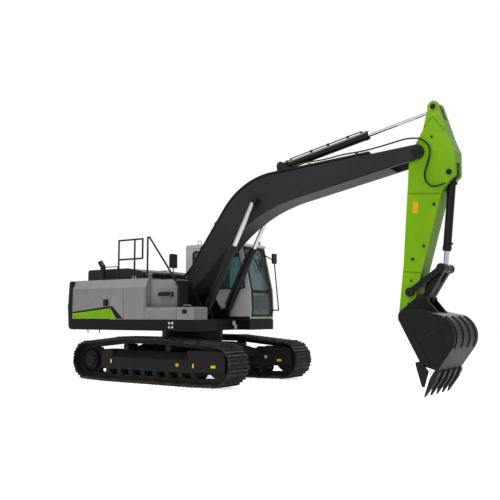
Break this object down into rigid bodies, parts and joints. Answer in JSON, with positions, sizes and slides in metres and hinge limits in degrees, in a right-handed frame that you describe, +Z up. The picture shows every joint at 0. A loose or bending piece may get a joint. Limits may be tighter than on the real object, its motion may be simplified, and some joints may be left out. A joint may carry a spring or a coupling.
{
  "type": "crawler excavator",
  "caption": "Crawler excavator with a one-piece boom, arm and toothed bucket on hydraulic cylinders, a slewing upper with cab, hood and counterweight, on tracks with triple-grouser shoes.",
  "frame": {"origin": "middle of the parked machine's bounding box, on the ground under the tracks", "axes": "+X forward along the boom, +Y to the machine's left, +Z up; the swing axis stands at X = -1.574 m"},
  "size_m": [8.8234, 2.98, 5.1149],
  "materials": {
    "frame_paint": "satin charcoal paint",
    "track_steel": "bare worn steel",
    "counterweight_paint": "satin charcoal paint on a casting",
    "engine_paint": "grey engine paint",
    "panel_grey": "semi-gloss mid grey paint",
    "hood_black": "satin black paint",
    "mirror_shell": "black plastic shell with a mirror",
    "cab_grey": "semi-gloss light grey paint",
    "cab_glass": "green-tinted safety glass",
    "seat_cloth": "woven seat cloth over foam",
    "console_plastic": "grained black plastic",
    "boom_paint": "satin charcoal paint",
    "arm_paint": "semi-gloss lime green paint",
    "bucket_paint": "worn black paint",
    "tooth_steel": "worn cast steel",
    "cylinder_paint": "satin charcoal paint",
    "rod_chrome": "polished hard chrome"
  },
  "bodies": {
    "undercarriage": {"carbody": "frame_paint", "swing_ring": "track_steel", "track_frame_right": "frame_paint", "track_frame_left": "frame_paint", "final_drives": "frame_paint", "idlers": "track_steel", "rollers": "track_steel", "track_right": "track_steel", "track_left": "track_steel"},
    "upper": {"main_frame": "frame_paint", "counterweight": "counterweight_paint", "engine": "engine_paint", "right_housing": "panel_grey", "left_housing": "panel_grey", "fuel_tank": "panel_grey", "tool_box": "panel_grey", "handrails": "hood_black", "mirrors": "mirror_shell", "exhaust_pipe": "hood_black", "cab_body": "cab_grey", "cab_roof": "cab_grey", "cab_glass": "cab_glass", "seat": "seat_cloth", "consoles": "console_plastic"},
    "boom": {"boom": "boom_paint", "boom_pipes": "hood_black"},
    "arm": {"arm": "arm_paint"},
    "bucket": {"bucket": "bucket_paint", "bucket_teeth": "tooth_steel"},
    "boom_cylinders": {"boom_cylinders": "cylinder_paint"},
    "boom_rods": {"boom_rods": "rod_chrome"},
    "arm_cylinder": {"arm_cylinder": "cylinder_paint"},
    "arm_rod": {"arm_rod": "rod_chrome"},
    "bucket_cylinder": {"bucket_cylinder": "cylinder_paint"},
    "bucket_rod": {"bucket_rod": "rod_chrome"},
    "tipping_links": {"tipping_links": "bucket_paint"},
    "bucket_link": {"bucket_link": "bucket_paint"},
    "engine_hood": {"engine_hood": "hood_black"},
    "pump_door": {"pump_door": "panel_grey"},
    "cooler_door": {"cooler_door": "panel_grey"},
    "service_door": {"service_door": "panel_grey"},
    "tool_box_lid": {"tool_box_lid": "panel_grey"},
    "cab_door": {"cab_door": "cab_grey", "door_glass": "cab_glass"}
  },
  "joints": [
    {"name": "swing", "type": "hinge", "parent": "undercarriage", "child": "upper", "pos_m": [-1.57399, 0, 0.98], "axis": [0, 0, 1], "continuous": true},
    {"name": "boom", "type": "hinge", "parent": "upper", "child": "boom", "pos_m": [-1.52399, 0, 1.95], "axis": [0, -1, 0], "range_deg": [-58, 42]},
    {"name": "boom_cylinders_pivot", "type": "hinge", "parent": "upper", "child": "boom_cylinders", "pos_m": [-0.92399, 0, 1.42], "axis": [0, -1, 0], "range_deg": [-56.6, 41.1]},
    {"name": "boom_rods_slide", "type": "slide", "parent": "boom_cylinders", "child": "boom_rods", "axis": [0.4721, 0, 0.8815], "range_m": [-0.724, 0.525]},
    {"name": "arm", "type": "hinge", "parent": "boom", "child": "arm", "pos_m": [3.67698, 0, 4.23306], "axis": [0, 1, 0], "range_deg": [-78, 34]},
    {"name": "arm_cylinder_pivot", "type": "hinge", "parent": "boom", "child": "arm_cylinder", "pos_m": [0.79293, 0, 4.35949], "axis": [0, 1, 0], "range_deg": [-4.2, 2]},
    {"name": "arm_rod_slide", "type": "slide", "parent": "arm_cylinder", "child": "arm_rod", "axis": [0.98, 0, 0.199], "range_m": [-0.953, 0.417]},
    {"name": "bucket", "type": "hinge", "parent": "arm", "child": "bucket", "pos_m": [3.39399, 0, 1.3469], "axis": [0, 1, 0], "range_deg": [-5, 120]},
    {"name": "bucket_cylinder_pivot", "type": "hinge", "parent": "arm", "child": "bucket_cylinder", "pos_m": [4.23401, 0, 3.81672], "axis": [0, 1, 0], "range_deg": [-3.5, 0.4]},
    {"name": "bucket_rod_slide", "type": "slide", "parent": "bucket_cylinder", "child": "bucket_rod", "axis": [-0.1025, 0, -0.9947], "range_m": [-0.039, 0.887]},
    {"name": "tipping_links_pivot", "type": "hinge", "parent": "arm", "child": "tipping_links", "pos_m": [3.49746, 0, 1.76681], "axis": [0, 1, 0], "range_deg": [-3.6, 80.4]},
    {"name": "bucket_link_pivot", "type": "hinge", "parent": "tipping_links", "child": "bucket_link", "pos_m": [4.06434, 0, 2.17062], "axis": [0, 1, 0], "range_deg": [-64.8, 2.9]},
    {"name": "engine_hood", "type": "hinge", "parent": "upper", "child": "engine_hood", "pos_m": [-2.19599, 0, 2.26], "axis": [0, 1, 0], "range_deg": [0, 55]},
    {"name": "pump_door", "type": "hinge", "parent": "upper", "child": "pump_door", "pos_m": [-3.88499, -1.34, 1.7], "axis": [0, 0, -1], "range_deg": [0, 110]},
    {"name": "cooler_door", "type": "hinge", "parent": "upper", "child": "cooler_door", "pos_m": [-3.88499, 1.34, 1.7], "axis": [0, 0, 1], "range_deg": [0, 110]},
    {"name": "service_door", "type": "hinge", "parent": "upper", "child": "service_door", "pos_m": [-3.04999, 1.34, 1.7], "axis": [0, 0, 1], "range_deg": [0, 110]},
    {"name": "tool_box_lid", "type": "hinge", "parent": "upper", "child": "tool_box_lid", "pos_m": [-0.64649, -0.935, 1.513], "axis": [-1, 0, 0], "range_deg": [0, 80]},
    {"name": "cab_door", "type": "hinge", "parent": "upper", "child": "cab_door", "pos_m": [-1.66199, 1.373, 2.05], "axis": [0, 0, 1], "range_deg": [0, 170]}
  ],
  "couplings": [
    {"joint": "boom_cylinders_pivot", "follows": "boom", "ratio": 0.97175},
    {"joint": "boom_rods_slide", "follows": "boom", "m_per_rad": 0.7127},
    {"joint": "arm_cylinder_pivot", "follows": "arm", "ratio": 0.050527},
    {"joint": "arm_rod_slide", "follows": "arm", "m_per_rad": 0.69847},
    {"joint": "bucket_cylinder_pivot", "follows": "bucket", "ratio": -0.026972},
    {"joint": "bucket_rod_slide", "follows": "bucket", "m_per_rad": 0.42214},
    {"joint": "tipping_links_pivot", "follows": "bucket", "ratio": 0.66822},
    {"joint": "bucket_link_pivot", "follows": "bucket", "ratio": -0.5381}
  ]
}
